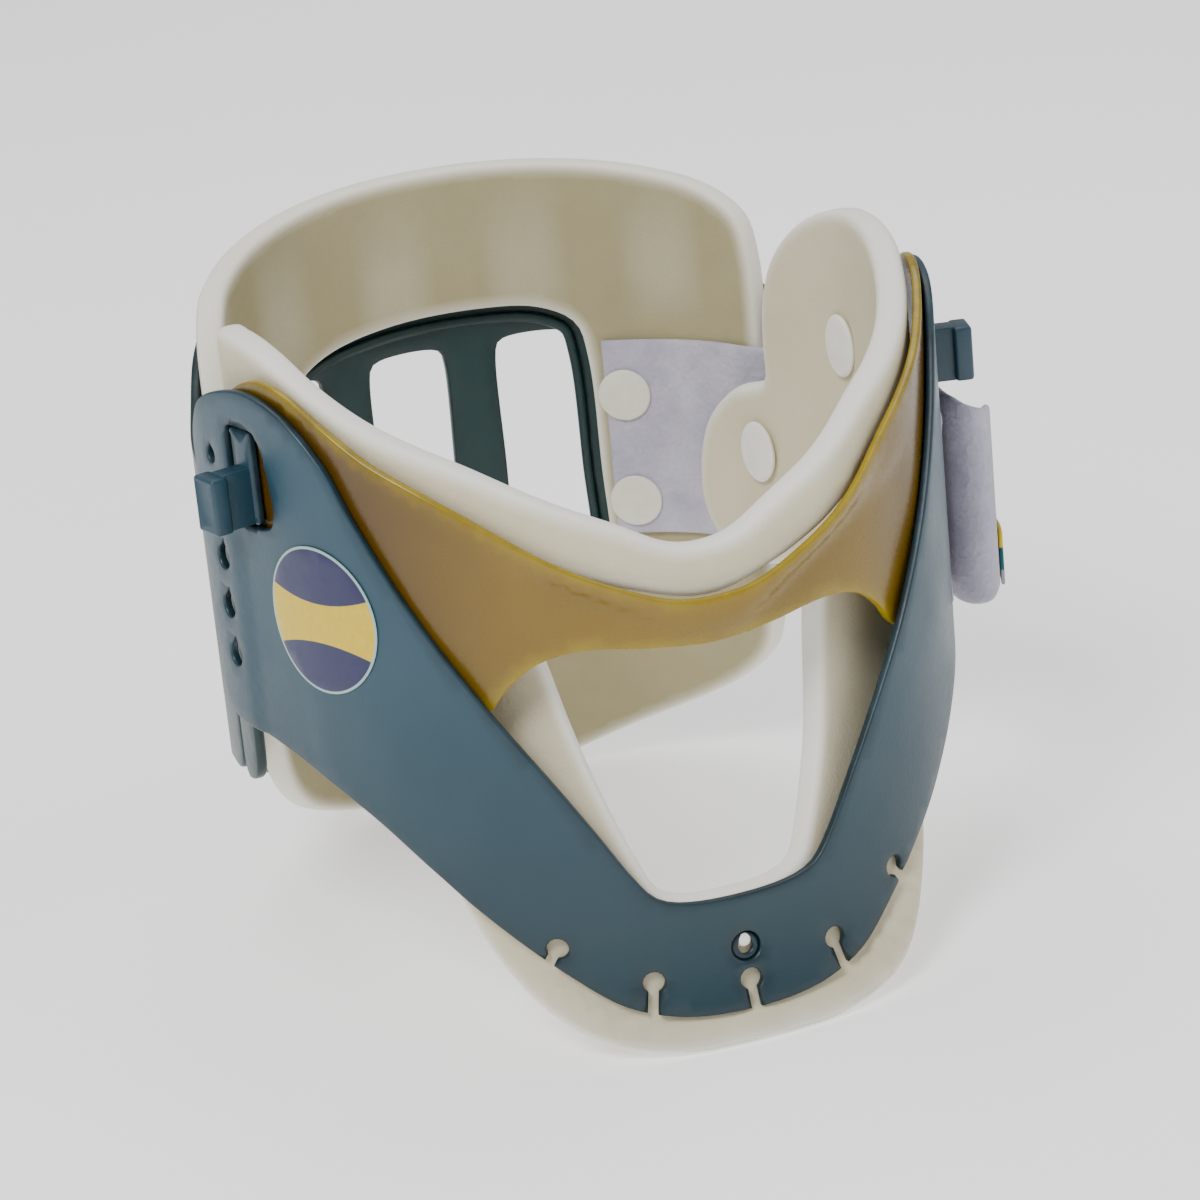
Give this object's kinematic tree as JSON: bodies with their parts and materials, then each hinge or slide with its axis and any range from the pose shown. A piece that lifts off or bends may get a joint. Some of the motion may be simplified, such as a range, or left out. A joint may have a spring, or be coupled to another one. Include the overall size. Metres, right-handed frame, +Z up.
{
  "type": "cervical collar",
  "caption": "Adjustable rigid neck collar with foam-padded front frame, sliding chin support, slotted rear panel and hook-and-loop strap.",
  "frame": {"origin": "middle of the collar's bounding box on the table it stands on", "axes": "+X to the wearer's left, -Y to the wearer's front, +Z up"},
  "size_m": [0.173, 0.1642, 0.1424],
  "materials": {
    "front_plastic": "satin moulded polyethylene, steel teal",
    "rear_plastic": "satin moulded polyethylene, dark teal",
    "chin_plastic": "semi-gloss moulded polyethylene, golden yellow",
    "foam": "closed-cell foam with a smooth ivory skin",
    "rivet_plastic": "ivory snap rivet",
    "loop_fabric": "white brushed loop tape",
    "hook_fabric": "white woven hook tape",
    "label_film": "printed film, blue and yellow bands",
    "tag_fabric": "woven tag"
  },
  "bodies": {
    "front": {"front_frame": "front_plastic", "chest_foam": "foam", "chest_foam_rivet": "rivet_plastic", "rear_frame_tab": "rear_plastic", "label": "label_film", "hook_patch": "hook_fabric"},
    "chin": {"chin_support": "chin_plastic", "chin_foam": "foam", "tall_lobe_rivet_right": "rivet_plastic", "tall_lobe_rivet_left": "rivet_plastic", "low_lobe_rivet_right": "rivet_plastic", "low_lobe_rivet_left": "rivet_plastic"},
    "lock_right": {"lock_tab_right": "front_plastic"},
    "lock_left": {"lock_tab_left": "front_plastic"},
    "rear": {"rear_frame": "rear_plastic", "rear_foam": "foam", "upper_strap_rivet": "rivet_plastic", "lower_strap_rivet": "rivet_plastic", "strap": "loop_fabric"},
    "strap_end": {"strap_tail": "loop_fabric", "strap_tag": "tag_fabric"}
  },
  "joints": [
    {"name": "chin_slide", "type": "slide", "parent": "front", "child": "chin", "axis": [0, 0, 1], "range_m": [-0.0306, 0]},
    {"name": "rear_swing", "type": "hinge", "parent": "front", "child": "rear", "pos_m": [-0.07729, 0.01001, 0.07], "axis": [0, 0, 1], "range_deg": [0, 65]},
    {"name": "lock_right_flex", "type": "hinge", "parent": "front", "child": "lock_right", "pos_m": [-0.07738, -0.01621, 0.122], "axis": [-0.2823, 0.9593, 0], "range_deg": [0, 30]},
    {"name": "lock_left_flex", "type": "hinge", "parent": "front", "child": "lock_left", "pos_m": [0.07018, -0.01621, 0.122], "axis": [-0.2823, -0.9593, 0], "range_deg": [0, 30]},
    {"name": "strap_peel", "type": "hinge", "parent": "rear", "child": "strap_end", "pos_m": [0.07304, -0.01446, 0.07], "axis": [0, 0, 1], "range_deg": [0, 50]}
  ]
}
